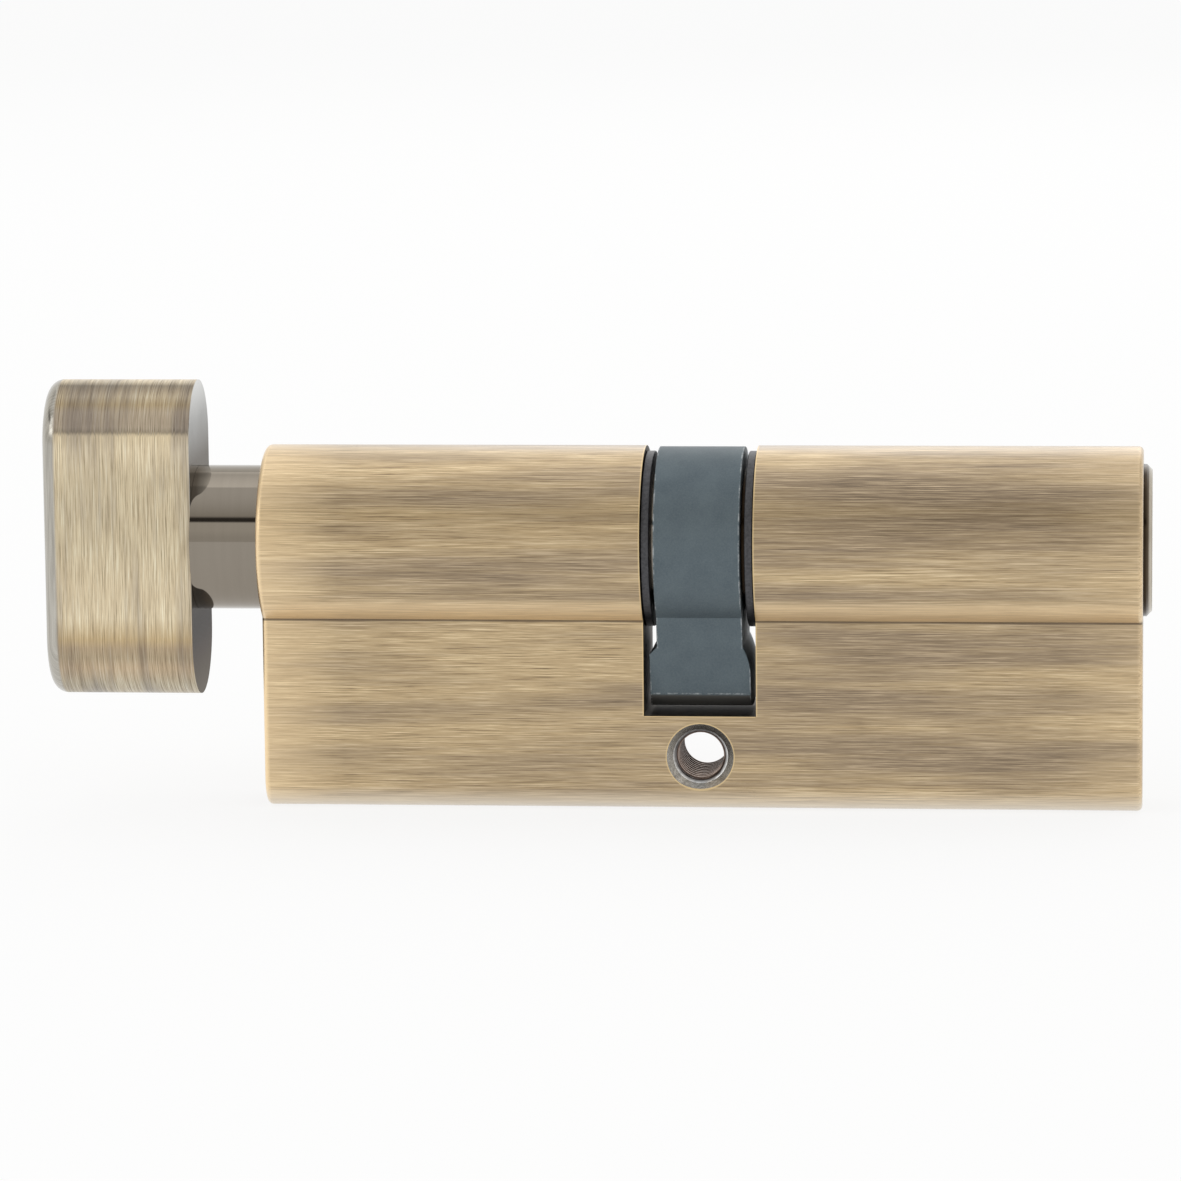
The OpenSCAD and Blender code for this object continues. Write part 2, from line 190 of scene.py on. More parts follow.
for name, place, width, energy in (
    ("soft_box_above", (-0.05, 0.35, 0.75), 0.6, 0.5),
    ("soft_box_left", (-0.6, -0.65, 0.5), 0.5, 0.9),
    ("soft_box_right", (0.7, -0.35, 0.6), 0.4, 0.3),
    ("soft_box_behind", (0.1, 0.8, 0.5), 0.5, 0.6),
):
    lamp_data = bpy.data.lights.new(name, "AREA")
    lamp_data.shape = "SQUARE"
    lamp_data.size = width
    lamp_data.energy = energy
    lamp = bpy.data.objects.new(name, lamp_data)
    scene.collection.objects.link(lamp)
    aim = middle - Vector(place)
    lamp.matrix_world = Matrix.Translation(place) @ aim.to_track_quat("-Z", "Y").to_matrix().to_4x4()

# Housing: one drawn bar of brass, drilled and milled, antiqued dark, brushed lengthways and lacquered.
# The brush leaves fine bright scratches along the barrel and smoky bands between them. Painted light is
# mixed in: a dark line of painted shade in the crease, painted shade just below it on the key's half, a
# painted highlight of pale gold at the ends and just above the crease, a pale line along the slot's and the
# screw hole's edges that is partly wear and partly painted highlight, and a pale painted reflection of the
# floor along the bottom edge. The lacquer greys the far edge of the round part.
mm = 0.001
axis_z = 19.35
sharp_degrees = 34


def joined(name, grids):
    """Joins grids of points in mm, given around the barrel's axis, into one closed mesh in metres.

    The axis lies axis_z above the fixing screw's hole. Each grid is (points by row and column, material
    number, cells left out or None). A cell's face joins a point with the next in its row and with the two
    above them. Points that meet are merged, and faces turned outwards.
    """
    places, faces, numbers, first = [], [], [], 0
    for points, number, left_out in grids:
        rows, columns = points.shape[:2]
        corner = first + np.arange(rows - 1)[:, None] * columns + np.arange(columns - 1)
        if left_out is not None:
            corner = corner[~left_out]
        around = [corner, corner + 1, corner + columns + 1, corner + columns]
        faces.append(np.stack(around, -1).reshape(-1, 4))
        numbers.append(np.full(len(faces[-1]), number))
        places.append(points.reshape(-1, 3))
        first += rows * columns
    mesh = bpy.data.meshes.new(name)
    spots = (np.concatenate(places) + (0, 0, axis_z)) * mm
    mesh.from_pydata(spots.tolist(), [], np.concatenate(faces).tolist())
    mesh.polygons.foreach_set("material_index", np.concatenate(numbers))
    shape = bmesh.new()
    shape.from_mesh(mesh)
    bmesh.ops.remove_doubles(shape, verts=shape.verts, dist=0.0004 * mm)
    bmesh.ops.recalc_face_normals(shape, faces=shape.faces)
    shape.to_mesh(mesh)
    shape.free()
    return mesh


def finished(mesh, body, node, materials, edge_mm, plain=()):
    """Makes the mesh a piece that stands for the CAD node, with each sharp outer edge broken by edge_mm.

    Edges between two faces whose material number is in plain keep their shape.
    """
    piece = bpy.data.objects.new(mesh.name, mesh)
    scene.collection.objects.link(piece)
    for material in materials:
        mesh.materials.append(material)
    shape = bmesh.new()
    shape.from_mesh(mesh)
    weight = shape.edges.layers.float.new("bevel_weight_edge")
    for edge in shape.edges:
        kept = all(face.material_index in plain for face in edge.link_faces)
        turned = math.degrees(edge.calc_face_angle_signed(0))
        edge[weight] = 1.0 if turned > sharp_degrees and not kept else 0.0
    shape.to_mesh(mesh)
    shape.free()
    mesh.shade_smooth()
    mesh.set_sharp_from_angle(angle=math.radians(sharp_degrees))
    bevel = piece.modifiers.new("broken_edges", "BEVEL")
    bevel.limit_method = "WEIGHT"
    bevel.width = edge_mm * mm
    bevel.segments = 2
    bevel.use_clamp_overlap = True
    even = piece.modifiers.new("even_shading", "WEIGHTED_NORMAL")
    even.keep_sharp = True
    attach(piece, body)
    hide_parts(node)


def strokes(tree, cell_mm, detail=3.0, roughness=0.6, start=(0, 0, 0), distortion=0.0):
    """Noise, mostly between 0.3 and 0.7, whose cells measure cell_mm along the object's X, Y and Z.

    Real scratches are a few hundredths of a millimetre wide. They are drawn 0.1 mm wide, so that they show.
    """
    spot = add(tree, "ShaderNodeTexCoord").outputs["Object"]
    scale = [1 / (size * mm) for size in cell_mm]
    stretched = add(tree, "ShaderNodeMapping", {"Vector": spot, "Scale": scale, "Location": start})
    shape = {"Scale": 1.0, "Detail": detail, "Roughness": roughness, "Distortion": distortion}
    return add(tree, "ShaderNodeTexNoise", {0: stretched, **shape})


def near(tree, value, centre_mm, reach_mm):
    """1 where the value is within half of reach_mm of centre_mm, falling to 0 at reach_mm."""
    away = add(tree, "ShaderNodeMath", {0: value, 1: centre_mm * mm}, operation="SUBTRACT")
    away = add(tree, "ShaderNodeMath", {0: away}, operation="ABSOLUTE")
    return add(tree, "ShaderNodeMapRange", {0: away, 1: 0.5 * reach_mm * mm, 2: reach_mm * mm, 3: 1, 4: 0})


def from_screw(tree):
    """Distance from the fixing screw's axis, which is the object's own Y axis."""
    spot = add(tree, "ShaderNodeTexCoord").outputs["Object"]
    level = add(tree, "ShaderNodeVectorMath", {0: spot, 1: (1, 0, 1)}, operation="MULTIPLY")
    return add(tree, "ShaderNodeVectorMath", {0: level}, operation="LENGTH").outputs["Value"]


def brushed_brass(name, fine_cell, broad_cell, smoke_cell, highlight_from):
    """Antique brass whose fine scratches, broad streaks and smoky bands have cells of these sizes in mm.

    Smoke is thickest around 23 mm up and low on the web. The key's half has more, most of all at the
    barrel's middle, and none at the bottom; just below the crease on that half it is deepened as painted
    shade. It is thinned beside the crease and at the bottom edge, as part of a painted highlight and a
    painted reflection of the floor. From the last argument's distance in mm along the barrel, the edge
    carries a painted highlight of pale gold, more so at the knob's end.
    """
    material = bpy.data.materials.new(name)
    tree = new_tree(material)
    hair = strokes(tree, fine_cell, detail=3, roughness=0.75, distortion=0.05)
    streak = strokes(tree, broad_cell, detail=3, roughness=0.65, distortion=0.08)
    smoke = strokes(tree, smoke_cell, detail=2, roughness=0.5, start=(3.1, 0.4, 1.7))
    spot = add(tree, "ShaderNodeTexCoord").outputs["Object"]
    axes = add(tree, "ShaderNodeSeparateXYZ", {0: spot}).outputs
    along = add(tree, "ShaderNodeMath", {0: axes["X"]}, operation="ABSOLUTE")
    across = add(tree, "ShaderNodeMath", {0: axes["Y"]}, operation="ABSOLUTE")
    on_barrel = add(tree, "ShaderNodeMapRange", {0: across, 1: 5.02 * mm, 2: 5.1 * mm})
    # Just above the crease, on the barrel's underside: a painted highlight, with thinner smoke and pale
    # gold mixed in.
    painted_highlight_beside_crease = add(
        tree, "ShaderNodeMath", {0: near(tree, axes["Z"], 13.2, 1.6), 1: on_barrel}, operation="MULTIPLY"
    )
    knob_side = add(tree, "ShaderNodeMapRange", {0: axes["X"], 1: -20 * mm, 2: 20 * mm, 3: 1, 4: 0.35})
    key_side = add(tree, "ShaderNodeMapRange", {0: axes["X"], 1: -8 * mm, 2: 14 * mm})
    # Just below the crease, under the barrel's overhang on the key's half, the smoke is deepened: painted
    # shade.
    painted_shade_under_crease = add(
        tree, "ShaderNodeMath", {0: near(tree, axes["Z"], 12.0, 1.3), 1: key_side}, operation="MULTIPLY"
    )
    mid_barrel = add(
        tree, "ShaderNodeMath", {0: near(tree, axes["Z"], 19.9, 3.0), 1: key_side}, operation="MULTIPLY"
    )
    above_bottom = add(tree, "ShaderNodeMapRange", {0: axes["Z"], 1: -3 * mm, 2: -1 * mm})
    key_side = add(tree, "ShaderNodeMath", {0: key_side, 1: above_bottom}, operation="MULTIPLY")
    # At the bottom edge the smoke thins, as part of a painted reflection of the floor that is mixed in pale
    # below.
    bottom = add(tree, "ShaderNodeMapRange", {0: axes["Z"], 1: -3.4 * mm, 2: -1.6 * mm, 3: 1, 4: 0})
    # Near the ends the smoke thins and pale gold is mixed in further down: a painted highlight, stronger at
    # the knob's end.
    near_end = add(tree, "ShaderNodeMapRange", {0: along, 1: (highlight_from - 7) * mm, 2: highlight_from * mm})
    near_end = add(tree, "ShaderNodeMath", {0: near_end, 1: knob_side}, operation="MULTIPLY")
    haze = smoke
    for zone, amount in (
        (near(tree, axes["Z"], 22.8, 4.0), 0.09),
        (near(tree, axes["Z"], -0.8, 1.8), 0.05),
        (key_side, 0.1),
        (mid_barrel, 0.07),
        (painted_shade_under_crease, 0.12),
        (painted_highlight_beside_crease, -0.08),
        (bottom, -0.06),
        (near_end, -0.14),
        (streak, 0.35),
        (hair, 0.55),
    ):
        haze = add(tree, "ShaderNodeMath", {0: zone, 1: amount, 2: haze}, operation="MULTIPLY_ADD")
    patch = add(tree, "ShaderNodeMapRange", {0: haze, 1: 0.87, 2: 1.17, 3: 0, 4: 0.88})
    gold = add(
        tree,
        "ShaderNodeValToRGB",
        {0: hair},
        stops=[(0.34, "#8A7656"), (0.44, "#B89F78"), (0.55, "#CEB68D"), (0.65, "#F2DCB2")],
    )
    umber = add(
        tree,
        "ShaderNodeValToRGB",
        {0: hair},
        stops=[(0.34, "#675847"), (0.50, "#8F7C64"), (0.66, "#C1AB8D")],
    )
    colour = add(tree, "ShaderNodeMix", {0: patch, 6: gold, 7: umber}, data_type="RGBA")
    # A painted highlight of pale gold at the end edges, fading inwards, and beside the crease.
    faded = add(tree, "ShaderNodeMath", {0: near_end, 1: 0.4}, operation="MULTIPLY")
    edge = add(tree, "ShaderNodeMapRange", {0: along, 1: (highlight_from - 0.4) * mm, 2: (highlight_from + 0.2) * mm})
    edge = add(tree, "ShaderNodeMath", {0: edge, 1: knob_side}, operation="MULTIPLY")
    crease_painted_highlight = add(tree, "ShaderNodeMath", {0: painted_highlight_beside_crease, 1: 0.5}, operation="MULTIPLY")
    painted_highlight = edge
    for zone in (faded, crease_painted_highlight):
        painted_highlight = add(tree, "ShaderNodeMath", {0: painted_highlight, 1: zone}, operation="MAXIMUM")
    colour = add(tree, "ShaderNodeMix", {0: painted_highlight, 6: colour, 7: linear("#FFE3B6")}, data_type="RGBA")
    above_floor = add(tree, "ShaderNodeMapRange", {0: axes["Z"], 1: 3.7 * mm, 2: 3.8 * mm})
    in_slot = add(tree, "ShaderNodeMapRange", {0: along, 1: 5.0 * mm, 2: 5.1 * mm, 3: 1, 4: 0})
    # A pale line along the slot's and the screw hole's edges: partly wear, partly a painted highlight of
    # their small chamfers.
    side_edge = add(
        tree, "ShaderNodeMath", {0: near(tree, along, 5.1, 0.16), 1: above_floor}, operation="MULTIPLY"
    )
    floor_edge = add(
        tree, "ShaderNodeMath", {0: near(tree, axes["Z"], 3.75, 0.14), 1: in_slot}, operation="MULTIPLY"
    )
    edge_wear_and_highlight = near(tree, from_screw(tree), 3.06, 0.12)
    for zone in (side_edge, floor_edge):
        edge_wear_and_highlight = add(tree, "ShaderNodeMath", {0: edge_wear_and_highlight, 1: zone}, operation="MAXIMUM")
    edge_wear_and_highlight = add(tree, "ShaderNodeMath", {0: edge_wear_and_highlight, 1: 0.7}, operation="MULTIPLY")
    colour = add(tree, "ShaderNodeMix", {0: edge_wear_and_highlight, 6: colour, 7: linear("#E3C893")}, data_type="RGBA")
    # A pale painted reflection of the floor along the bottom corner's rounding.
    painted_floor_reflection = add(tree, "ShaderNodeMapRange", {0: axes["Z"], 1: -4.6 * mm, 2: -3.0 * mm, 3: 0.65, 4: 0})
    colour = add(tree, "ShaderNodeMix", {0: painted_floor_reflection, 6: colour, 7: linear("#E6DCCB")}, data_type="RGBA")
    # A dark line of painted shade along the crease where the barrel meets the web.
    painted_crease_shade = add(
        tree,
        "ShaderNodeMath",
        {0: near(tree, axes["Z"], 12.45, 0.14), 1: near(tree, across, 5.05, 0.5)},
        operation="MULTIPLY",
    )
    painted_crease_shade = add(tree, "ShaderNodeMath", {0: painted_crease_shade, 1: 0.75}, operation="MULTIPLY")
    colour = add(tree, "ShaderNodeMix", {0: painted_crease_shade, 6: colour, 7: linear("#5A4933")}, data_type="RGBA")
    gloss = add(tree, "ShaderNodeMapRange", {0: hair, 1: 0.3, 2: 0.7, 3: 0.46, 4: 0.34})
    dents = add(tree, "ShaderNodeBump", {"Height": hair, "Strength": 0.4, "Distance": 0.03 * mm})
    shader = add(
        tree,
        "ShaderNodeBsdfPrincipled",
        {
            "Base Color": colour,
            "Metallic": 1.0,
            "Roughness": gloss,
            "Normal": dents,
            "Coat Weight": 0.9,
            "Coat Roughness": 0.28,
        },
    )
    add(tree, "ShaderNodeOutputMaterial", {"Surface": shader})
    return material


def plain_metal(name, cell_mm, dark, pale, roughness, metallic=1.0, detail=3.0, dent=0.25):
    """A metal whose machining marks have cells of cell_mm and go from a dark to a pale colour."""
    material = bpy.data.materials.new(name)
    tree = new_tree(material)
    marks = strokes(tree, cell_mm, detail=detail)
    colour = add(tree, "ShaderNodeValToRGB", {0: marks}, stops=[(0.3, dark), (0.7, pale)])
    dents = add(tree, "ShaderNodeBump", {"Height": marks, "Strength": dent, "Distance": 0.02 * mm})
    shader = add(
        tree,
        "ShaderNodeBsdfPrincipled",
        {"Base Color": colour, "Metallic": metallic, "Roughness": roughness, "Normal": dents},
    )
    add(tree, "ShaderNodeOutputMaterial", {"Surface": shader})
    return material


# The section and the slot, in mm from the barrel's axis: radii, half widths and levels. The patch around
# the fixing screw's hole ends patch_turn round the bottom corner, where the corner has fallen by 2 mm.
barrel_r, web_half, corner_r = 8.5, 5.0, 3.0
corner_z, slot_floor, bottom_z = -21.5, -15.6, -24.5
slot_half, body_half, end_round = 5.1, 40.0, 0.45
patch_turn = math.asin(2 / 3)


def half_section(inset):
    """Half of the body's section, from the barrel's top to the middle of the web's bottom.

    It is an arc about the axis, a straight side, an arc at the bottom corner and a flat, all moved in by
    inset.
    """
    radius, side, corner = barrel_r - inset, web_half - inset, corner_r - inset
    join = math.acos(side / radius)
    arc = np.linspace(math.pi / 2, -join, 40)
    turn = np.concatenate([np.linspace(0, patch_turn, 7)[1:], np.linspace(patch_turn, math.pi / 2, 7)[1:]])
    down_to_slot = np.linspace(-radius * math.sin(join), slot_floor, 8)[1:]
    side_z = np.concatenate([down_to_slot, np.linspace(slot_floor, corner_z, 13)[1:]])
    flat = np.linspace(web_half - corner_r, 0, 7)[1:]
    corner_y = web_half - corner_r + corner * np.cos(turn)
    bottom = np.full(6, inset + bottom_z)
    across = np.concatenate([radius * np.cos(arc), np.full(19, side), corner_y, flat])
    up = np.concatenate([radius * np.sin(arc), side_z, corner_z - corner * np.sin(turn), bottom])
    return np.stack([across, up], -1)


def whole(half):
    """Closes a half section with its mirror image, back to its first point."""
    return np.concatenate([half, (half * (-1, 1))[-2::-1]])


def at_x(x, section):
    """Puts the points of a section at their place along the barrel."""
    return np.concatenate([np.full(section.shape[:-1] + (1,), float(x)), section], -1)


# In a half section, point 46 is level with the slot's floor and point 64 is where the patch ends. Each
# half of the body is a skin drawn through its sections, an end face, a bore and the slot's side wall. Where
# the pins are, the twelve cells of the web's flat bottom are left to the pin chambers' own grids.
floor_index, patch_index = 46, 64
section = whole(half_section(0))
spokes = section / np.linalg.norm(section, axis=1, keepdims=True)
rim_half = half_section(0)[: floor_index + 1]
middle_index = len(half_section(0))
below_slot = spokes[floor_index + 1 : middle_index]
floor_half = below_slot * (slot_floor / below_slot[:, 1:])
slot_rim = whole(np.concatenate([rim_half, floor_half]))
skin_start = 38.0
chamber_x = np.array([33, 28.6, 24.2, 19.8, 15.4])
chamber_r, chamber_top, half_pitch = 1.5, -6.58, 2.2
chamber_rows = np.linspace(chamber_x[0] + half_pitch, chamber_x[-1] - half_pitch, 61)
housing_grids = []
for side, mouth_r, mouth_deep, bore_r in ((-1, 6.65, 2.05, 6.25), (1, 6.95, 1.25, 6.55)):
    turn = np.linspace(0, math.pi / 2, 6)
    straight = np.concatenate([[skin_start], chamber_rows, [slot_half]])
    along = np.append(body_half - end_round * (1 - np.cos(turn)), straight)
    inset = np.append(end_round * (1 - np.sin(turn)), straight * 0)
    skin = np.stack([at_x(side * x, whole(half_section(d))) for x, d in zip(along, inset)])
    share = np.linspace(0, 1, 4)[:, None, None]
    end_face = at_x(side * body_half, skin[0, :, 1:] * (1 - share) + mouth_r * spokes * share)
    bore = np.stack(
        [
            at_x(side * x, r * spokes)
            for x, r in (
                (body_half, mouth_r),
                (body_half - mouth_deep, mouth_r),
                (body_half - mouth_deep, bore_r),
                (slot_half, bore_r),
            )
        ]
    )
    wall = at_x(side * slot_half, slot_rim * (1 - share) + bore_r * spokes * share)
    flat_cells = np.abs(np.arange(skin.shape[1] - 1) - middle_index + 1.5) < 6
    drilled = np.zeros((len(skin) - 1, skin.shape[1] - 1), bool)
    first_row = len(turn) + 1
    drilled[first_row : first_row + len(chamber_rows) - 1] = flat_cells if side > 0 else False
    housing_grids += [(skin, 0, drilled), (end_face, 4, None), (bore, 2, None), (wall, 2, None)]

# The bridge below the slot has the slot's floor on top and the web's bottom edge below. Around each pin
# chamber the web's flat bottom is an oblong that narrows to the chamber's ring, from which the chamber's
# wall goes up to a flat roof just under the plug's bore.
bridge_x = np.linspace(-slot_half, slot_half, 19)
floor_line = slot_rim[floor_index : len(slot_rim) - floor_index]
under_line = section[patch_index : len(section) - patch_index]
housing_grids.append((np.stack([at_x(x, floor_line) for x in bridge_x]), 2, None))
housing_grids.append((np.stack([at_x(x, under_line) for x in bridge_x]), 0, None))
step = np.linspace(-1, 1, 13)
frame_x = np.concatenate([step, np.full(12, 1), step[-2::-1], np.full(12, -1)]) * half_pitch
frame_y = np.concatenate([np.full(13, -1), step[1:], np.full(12, 1), step[-2::-1]]) * (web_half - corner_r)
oblong = np.stack([frame_x, frame_y], -1)
ring = chamber_r * oblong / np.linalg.norm(oblong, axis=1, keepdims=True)
for x in chamber_x:
    lips = np.stack([oblong, (oblong + ring) / 2, ring, ring, ring * 0]) + (x, 0)
    drop = np.array([bottom_z] * 3 + [chamber_top] * 2)
    chamber = np.concatenate([lips, np.broadcast_to(drop[:, None, None], lips.shape[:2] + (1,))], -1)
    housing_grids += [(chamber[:3], 0, None), (chamber[2:], 2, None)]

# The fixing screw's hole is drilled and tapped M5 through the bridge below the slot and countersunk.
# Its thread is cut after the finish. Its colour is painted light and shade: a painted highlight on each
# turn's crest, darkening to painted shade down the flanks into the groove.
# The rows of its mesh climb one pitch in a turn, and 12 a pitch put one on each edge of the thread's
# form. Depths run along Y from the web's middle.
hole_z, core_r, thread_deep, pitch, sink_r = -19.35, 2.1, 0.4, 0.8, 3.05
cone_end = web_half - (sink_r - core_r - thread_deep)


def face_y(z):
    """Half thickness of the web at a height: flat above the bottom corner, then the corner's arc."""
    fall = np.clip(corner_z - z, 0, corner_r)
    return web_half - corner_r + np.sqrt(corner_r**2 - fall**2)


# Rays go from the hole's middle to the frame around the patch. The countersink's rim lies on the web's
# face, which falls away at the bottom corner, so its radius there is found in a few steps.
edge_z = half_section(0)[floor_index : patch_index + 1, 1]
frame_x = np.concatenate(
    [bridge_x, np.full(18, slot_half), bridge_x[-2::-1], np.full(18, -slot_half)]
)
frame_z = np.concatenate([np.full(19, edge_z[0]), edge_z[1:], np.full(18, edge_z[-1]), edge_z[-2::-1]])
ray = np.stack([frame_x, frame_z - hole_z], -1)
ray /= np.linalg.norm(ray, axis=1, keepdims=True)
rim_r = np.full(len(ray), sink_r)
for _ in range(8):
    rim_r = sink_r - web_half + face_y(hole_z + rim_r * ray[:, 1])
rim_y = face_y(hole_z + rim_r * ray[:, 1])
share = np.linspace(0, 1, 7)[:, None]
patch_x = rim_r * ray[:, 0] * (1 - share) + frame_x * share
patch_z = (hole_z + rim_r * ray[:, 1]) * (1 - share) + frame_z * share

# A point's depth is its row's number over 12 plus the turns made so far, times the pitch, and stops at the
# two cones. Once a pitch its radius goes from the core's to the groove's and back: a third of the pitch
# for each flank, a sixth for the crest and a sixth for the groove's floor.
rows_a_pitch, snap = 12, 0.01
flank_slope, flank_start = 1.5, 0.25
turns_made = np.unwrap(np.arctan2(ray[:, 1], ray[:, 0])) / (2 * math.pi)
climb = turns_made - turns_made[0]
thread_rows = math.ceil((2 * cone_end / pitch + 1) * rows_a_pitch) + 1
depth = (np.arange(thread_rows)[:, None] / rows_a_pitch + climb) * pitch - cone_end
depth = np.where(np.abs(depth) > cone_end - snap, np.sign(depth) * cone_end, depth)
phase = ((depth + cone_end) / pitch - climb) % 1
cut = np.clip(flank_slope * (1 - np.abs(2 * phase - 1)) - flank_start, 0, 1)
wall_r = np.maximum(core_r + thread_deep * cut, sink_r - web_half + np.abs(depth))
for side in (-1, 1):
    housing_grids.append((np.stack([patch_x, side * face_y(patch_z), patch_z], -1), 0, None))
    cone_y = rim_y * (1 - share[::2]) + cone_end * share[::2]
    cone_r = sink_r - web_half + cone_y
    housing_grids.append(
        (np.stack([cone_r * ray[:, 0], side * cone_y, hole_z + cone_r * ray[:, 1]], -1), 3, None)
    )
thread = np.stack([wall_r * ray[:, 0], depth, hole_z + wall_r * ray[:, 1]], -1)
housing_grids.append((thread, 1, None))

# The flanks are brushed along the barrel and the end faces up and down. The bores and the slot are milled
# and stay dark. The countersink is cut bright and looks grey.
flank_brass = brushed_brass(
    "brushed_antique_brass", (6, 0.1, 0.1), (14, 0.22, 0.22), (34, 2.8, 2.8), 39.6
)
faced_brass = brushed_brass("linished_antique_brass", (0.12, 0.12, 3), (0.3, 0.3, 8), (3, 3, 14), 90)
tapped_brass = bpy.data.materials.new("tapped_brass")
tree = new_tree(tapped_brass)
# Painted highlight on the crests and painted shade deepening down the flanks into the grooves.
up_the_thread = add(tree, "ShaderNodeMapRange", {0: from_screw(tree), 1: core_r * mm, 2: 2.5 * mm})
painted_thread_shading = add(
    tree,
    "ShaderNodeValToRGB",
    {0: up_the_thread},
    stops=[(0.0, "#B5A296"), (0.12, "#75645B"), (0.35, "#3A2F2B"), (1.0, "#1A1412")],
)
grime = strokes(tree, (0.4, 0.4, 0.4))
smears = add(tree, "ShaderNodeMapRange", {0: grime, 1: 0.3, 2: 0.7, 3: 0.7, 4: 1.1})
painted_thread_shading = add(tree, "ShaderNodeMix", {0: 1.0, 6: painted_thread_shading, 7: smears}, data_type="RGBA", blend_type="MULTIPLY")
shader = add(tree, "ShaderNodeBsdfPrincipled", {"Base Color": painted_thread_shading, "Metallic": 1.0, "Roughness": 0.3})
add(tree, "ShaderNodeOutputMaterial", {"Surface": shader})
milled_brass = plain_metal("milled_and_antiqued_brass", (0.4, 3, 0.4), "#2B241D", "#41362A", 0.5)
sunk_brass = plain_metal("countersunk_brass", (0.2, 0.2, 0.2), "#8A8680", "#BDB9B2", 0.24)
finished(
    joined("housing_body", housing_grids),
    "housing",
    "housing",
    (flank_brass, tapped_brass, milled_brass, sunk_brass, faced_brass),
    0.12,
    plain=(1,),
)


# Chamber caps: short plugs of brass, pressed into the pin chambers from below to hold the springs in. They
# are brushed flush with the web, so that only a fine ring shows around each.
def merged_copy(node, name, flat_degrees):
    """A copy of a CAD node's mesh with its loose triangles merged and its old shading left off.

    Faces that turn by less than flat_degrees at their shared edge become one; at 0 all of them stay.
    """
    mesh = cad[node].data.copy()
    mesh.name = name
    mesh.materials.clear()
    shape = bmesh.new()
    shape.from_mesh(mesh)
    bmesh.ops.remove_doubles(shape, verts=shape.verts, dist=0.0002 * mm)
    if flat_degrees:
        bmesh.ops.dissolve_limit(
            shape,
            angle_limit=math.radians(flat_degrees),
            verts=shape.verts,
            edges=shape.edges,
            delimit=set(),
        )
    shape.to_mesh(mesh)
    shape.free()
    for layer in ("custom_normal", "sharp_face"):
        if layer in mesh.attributes:
            mesh.attributes.remove(mesh.attributes[layer])
    return mesh


def softened(node, body, materials, edge_mm):
    """Puts a copy of a CAD node in its place, with its flat faces made whole and its edges broken."""
    finished(merged_copy(node, node + "_finished", 0.3), body, node, materials, edge_mm)


for i in range(1, 6):
    softened(f"chamber_cap_{i}", "housing", (flank_brass,), 0.12)

# Knob: a bar of brass with round ends, antiqued and brushed around its flank. The flats and the round ends
# are brushed apart, so their tones meet in a ragged line. Over its height the colour is also multiplied by
# painted light and shade. The end faces are plain grey: the inner one is polished, with a painted
# reflection that is pale at the top and dark low down, and the outer one brushed lengthways.
knob_brass = bpy.data.materials.new("brushed_antique_knob_brass")
tree = new_tree(knob_brass)
hair = strokes(tree, (0.1, 5, 5), detail=3, roughness=0.75, distortion=0.04)
streak = strokes(tree, (0.28, 14, 14), detail=2, roughness=0.6, distortion=0.06)
smoke = strokes(tree, (2.4, 14, 14), detail=2, roughness=0.5, start=(0.7, 0, 0.3))
axes = add(tree, "ShaderNodeSeparateXYZ", {0: add(tree, "ShaderNodeTexCoord").outputs["Object"]}).outputs
gold = add(
    tree,
    "ShaderNodeValToRGB",
    {0: hair},
    stops=[(0.32, "#A39378"), (0.43, "#D2C1A2"), (0.55, "#EDDCBA"), (0.68, "#FFF8DE")],
)
umber = add(
    tree, "ShaderNodeValToRGB", {0: hair}, stops=[(0.28, "#857A6C"), (0.5, "#AFA392"), (0.72, "#DACEB8")]
)
haze = smoke
for zone, amount in ((axes["X"], -3.0), (streak, 0.35), (hair, 0.3)):
    haze = add(tree, "ShaderNodeMath", {0: zone, 1: amount, 2: haze}, operation="MULTIPLY_ADD")
patch = add(tree, "ShaderNodeMapRange", {0: haze, 1: 0.92, 2: 1.15, 3: 0, 4: 0.8})
colour = add(tree, "ShaderNodeMix", {0: patch, 6: gold, 7: umber}, data_type="RGBA")
ragged = add(tree, "ShaderNodeMapRange", {0: hair, 1: 0.3, 2: 0.7, 3: -0.35 * mm, 4: 0.35 * mm})
at_meeting = near(tree, axes["Z"], 29.6, 2.4)
lifted = add(
    tree, "ShaderNodeMath", {0: ragged, 1: at_meeting, 2: axes["Z"]}, operation="MULTIPLY_ADD"
)
level = add(tree, "ShaderNodeMapRange", {0: lifted, 1: 4.85 * mm, 2: 33.85 * mm})
# Painted light and shade over the knob's height, with the tone step where the flats meet the round ends.
painted_shade_and_tone = add(
    tree,
    "ShaderNodeValToRGB",
    {0: level},
    stops=[
        (0.000, "#D0D0D0"),
        (0.045, "#D5D8DD"),
        (0.104, "#DCD4D1"),
        (0.140, "#C9C4C0"),
        (0.170, "#CDC5C0"),
        (0.198, "#E1D7C6"),
        (0.267, "#FCFCFC"),
        (0.360, "#F6F5F4"),
        (0.500, "#EDEDEC"),
        (0.700, "#EDEDEC"),
        (0.790, "#FFFFFF"),
        (0.846, "#FFFFFF"),
        (0.855, "#B0B0B4"),
        (0.873, "#D9D8E1"),
        (0.915, "#D4D2D8"),
        (0.937, "#C8C1B6"),
        (0.959, "#C9C7C6"),
        (0.975, "#B1AEAE"),
        (0.989, "#979593"),
        (1.000, "#8D8C88"),
    ],
)
colour = add(tree, "ShaderNodeMix", {0: 1.0, 6: colour, 7: painted_shade_and_tone}, data_type="RGBA", blend_type="MULTIPLY")
